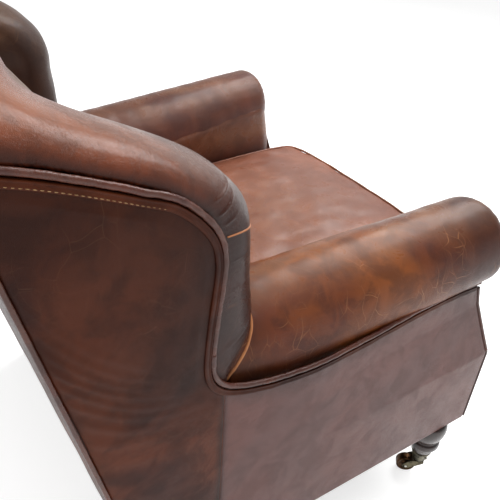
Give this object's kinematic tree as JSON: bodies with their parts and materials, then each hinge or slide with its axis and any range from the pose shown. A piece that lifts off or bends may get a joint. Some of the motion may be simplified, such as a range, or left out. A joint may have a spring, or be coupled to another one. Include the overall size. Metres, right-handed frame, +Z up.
{
  "type": "club chair",
  "caption": "Worn leather club chair with low wings, rolled arms, a loose seat cushion, turned front legs on swivel casters and plain rear legs.",
  "frame": {"origin": "on the floor, under the middle of the chair's overall length and width", "axes": "+Z up; the chair faces -Y, so the sitter's right is -X"},
  "size_m": [0.816, 0.8432, 0.965],
  "materials": {
    "leather_dark": "dark red-brown aniline leather with a soft waxed sheen and drag wrinkles",
    "leather_worn": "red-brown leather rubbed to tan, with fine pale scratches",
    "leather_seat": "rosy brown leather, smooth, with fine stretch creases",
    "timber_frame": "plain sawn beech",
    "dark_wood": "turned hardwood, dark stain and polish",
    "spring_steel": "bright drawn wire",
    "steel": "plain steel",
    "aged_brass": "dark aged brass, rubbed bright at the edges",
    "jute": "coarse woven jute and felt",
    "black_cloth": "thin black lining cloth"
  },
  "bodies": {
    "chair": {"front_rail": "timber_frame", "rear_rail": "timber_frame", "back_cross_rail": "timber_frame", "back_top_rail": "timber_frame", "side_rail_left": "timber_frame", "side_rail_right": "timber_frame", "back_post_left": "timber_frame", "back_post_right": "timber_frame", "arm_board_left": "timber_frame", "arm_board_right": "timber_frame", "arm_post_left": "timber_frame", "arm_post_right": "timber_frame", "wing_frame_left": "timber_frame", "wing_frame_right": "timber_frame", "front_block_left": "timber_frame", "front_block_right": "timber_frame", "rear_block_left": "timber_frame", "rear_block_right": "timber_frame", "seat_spring_1": "spring_steel", "seat_spring_2": "spring_steel", "seat_spring_3": "spring_steel", "seat_spring_4": "spring_steel", "seat_deck": "jute", "back_webbing": "jute", "dust_cover": "black_cloth", "seat_cushion": "leather_seat", "cushion_welt_top": "leather_seat", "cushion_welt_bottom": "leather_seat", "arm_pad_left": "leather_worn", "arm_pad_right": "leather_worn", "outside_arm_panel_left": "leather_dark", "outside_arm_panel_right": "leather_dark", "arm_facing_left": "leather_dark", "arm_facing_right": "leather_dark", "wing_pad_left": "leather_dark", "wing_pad_right": "leather_dark", "outer_side_panel_left": "leather_dark", "outer_side_panel_right": "leather_dark", "side_welt_left": "leather_dark", "side_welt_right": "leather_dark", "inside_back_pad": "leather_dark", "outside_back_panel": "leather_dark", "front_border": "leather_dark", "front_leg_left": "dark_wood", "front_leg_right": "dark_wood", "rear_leg_left": "dark_wood", "rear_leg_right": "dark_wood", "rear_glide_left": "steel", "rear_glide_right": "steel", "cup_screw_left": "steel", "cup_screw_right": "steel", "caster_cup_left": "aged_brass", "caster_cup_right": "aged_brass"},
    "caster_left": {"caster_fork_left": "aged_brass", "caster_axle_left": "steel"},
    "caster_right": {"caster_fork_right": "aged_brass", "caster_axle_right": "steel"},
    "caster_wheel_left": {"caster_wheel_left": "aged_brass"},
    "caster_wheel_right": {"caster_wheel_right": "aged_brass"}
  },
  "joints": [
    {"name": "caster_swivel_left", "type": "hinge", "parent": "chair", "child": "caster_left", "pos_m": [0.3745, -0.31128, 0.052], "axis": [0, 0, 1], "continuous": true},
    {"name": "wheel_turn_left", "type": "hinge", "parent": "caster_left", "child": "caster_wheel_left", "pos_m": [0.35899, -0.2943, 0.0185], "axis": [0.7385, 0.6743, 0], "continuous": true},
    {"name": "caster_swivel_right", "type": "hinge", "parent": "chair", "child": "caster_right", "pos_m": [-0.3745, -0.31128, 0.052], "axis": [0, 0, 1], "continuous": true},
    {"name": "wheel_turn_right", "type": "hinge", "parent": "caster_right", "child": "caster_wheel_right", "pos_m": [-0.35899, -0.2943, 0.0185], "axis": [0.7385, -0.6743, 0], "continuous": true}
  ]
}
